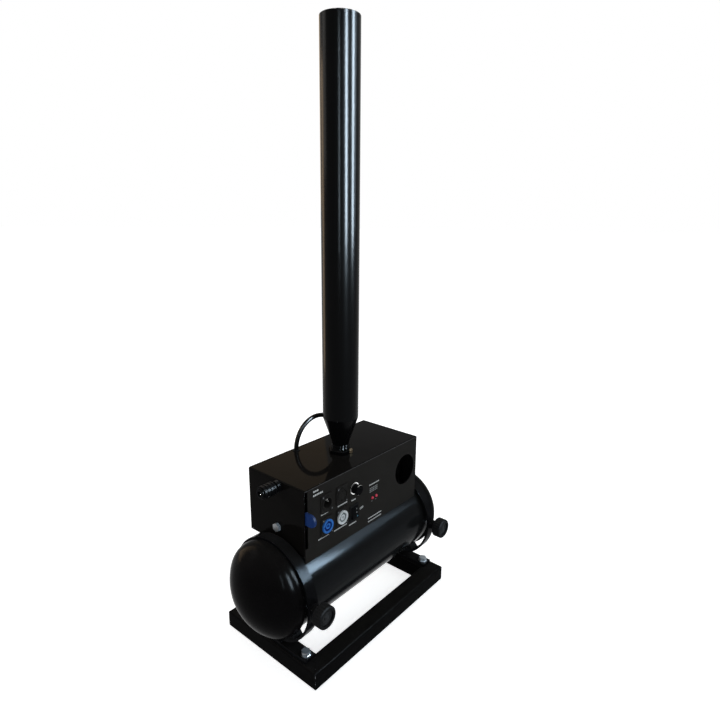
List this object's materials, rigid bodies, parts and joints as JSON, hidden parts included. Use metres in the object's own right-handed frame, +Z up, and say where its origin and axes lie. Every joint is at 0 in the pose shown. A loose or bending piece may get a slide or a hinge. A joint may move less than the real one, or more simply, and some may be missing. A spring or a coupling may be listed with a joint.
{
  "type": "confetti blower",
  "caption": "Tilting confetti blower: an air tank with a control box and a tall barrel, held by clamp knobs in a floor cradle.",
  "frame": {"origin": "bottom centre of the whole object's box, on the floor", "axes": "+Z up along the barrel, -Y towards the control panel and clamp knobs, +X to the right seen from the panel"},
  "size_m": [0.4386, 0.219, 0.9575],
  "materials": {
    "black_powder_coat": "satin powder coat",
    "gloss_black_paint": "gloss paint",
    "black_plastic": "moulded",
    "gloss_black_plastic": "moulded gloss",
    "blue_plastic": "moulded",
    "grip_blue": "dipped vinyl",
    "white_plastic": "moulded",
    "red_lamp": "tinted lens",
    "rubber": "moulded",
    "hose_black": "extruded tube",
    "zinc": "bright zinc",
    "steel": "machined",
    "nickel": "nickel plate",
    "brass": "machined",
    "black_steel": "black oxide",
    "board_green": "circuit board",
    "galvanised": "plated sheet"
  },
  "bodies": {
    "base": {"front_rail": "black_powder_coat", "rear_rail": "black_powder_coat", "left_rail": "black_powder_coat", "right_rail": "black_powder_coat", "left_hoop": "black_powder_coat", "right_hoop": "black_powder_coat", "saddle_pads": "rubber", "foot_bolts": "zinc", "clamp_bosses": "black_powder_coat"},
    "carriage": {"tank_shell": "gloss_black_paint", "left_head": "gloss_black_paint", "right_head": "gloss_black_paint", "drain_plug": "brass", "riser_nipple": "brass", "valve_body": "brass", "valve_coil": "black_plastic", "pilot_block": "brass", "stem_nipple": "black_steel", "lock_nuts": "brass", "barrel_cone": "gloss_black_paint", "barrel_tube": "gloss_black_paint", "cover": "black_powder_coat", "front_panel": "black_powder_coat", "rear_panel": "black_powder_coat", "rear_screws": "black_steel", "saddle_brackets": "black_powder_coat", "side_bolts": "zinc", "dmx_inlet": "black_plastic", "dmx_pins": "nickel", "dmx_outlet": "black_plastic", "power_inlet": "blue_plastic", "power_outlet": "white_plastic", "power_plates": "black_plastic", "connector_screws": "zinc", "switch_body": "black_plastic", "fuse_body": "black_plastic", "fuse_ring": "nickel", "indicator_lamps": "red_lamp", "coupling_body": "black_steel", "locking_balls": "nickel", "inlet_pipe": "steel", "ball_valve": "nickel", "feed_pipe": "steel", "air_hose": "hose_black", "hose_fittings": "black_plastic", "hose_manifold": "brass", "control_board": "board_green", "board_posts": "zinc", "power_supply": "galvanised", "pressure_switch": "steel"},
    "left_clamp": {"left_stud": "steel", "left_knob": "black_plastic"},
    "right_clamp": {"right_stud": "steel", "right_knob": "black_plastic"},
    "lever": {"valve_lever": "zinc", "lever_grip": "grip_blue", "valve_spindle": "steel"},
    "rocker": {"rocker": "gloss_black_plastic"},
    "fuse_cap": {"fuse_cap": "gloss_black_plastic"},
    "sleeve": {"coupling_sleeve": "black_steel"}
  },
  "joints": [
    {"name": "barrel_tilt", "type": "hinge", "parent": "base", "child": "carriage", "pos_m": [0, 0.004, 0.125], "axis": [1, 0, 0], "range_deg": [-60, 35]},
    {"name": "left_clamp_turn", "type": "hinge", "parent": "base", "child": "left_clamp", "pos_m": [-0.156, -0.1, 0.122], "axis": [0, 1, 0], "continuous": true},
    {"name": "right_clamp_turn", "type": "hinge", "parent": "base", "child": "right_clamp", "pos_m": [0.156, -0.1, 0.122], "axis": [0, 1, 0], "continuous": true},
    {"name": "valve_lever_turn", "type": "hinge", "parent": "carriage", "child": "lever", "pos_m": [-0.1386, -0.022, 0.251], "axis": [1, 0, 0], "range_deg": [-45, 45]},
    {"name": "power_rocker", "type": "hinge", "parent": "carriage", "child": "rocker", "pos_m": [-0.0325, -0.047, 0.216], "axis": [1, 0, 0], "range_deg": [0, 16]},
    {"name": "fuse_cap_twist", "type": "hinge", "parent": "carriage", "child": "fuse_cap", "pos_m": [-0.032, -0.056, 0.2592], "axis": [0, 1, 0], "range_deg": [-90, 0]},
    {"name": "coupling_release", "type": "slide", "parent": "carriage", "child": "sleeve", "axis": [1, 0, 0], "range_m": [0, 0.004], "stiffness_N_per_m": 1500, "springref_m": -0.003}
  ]
}
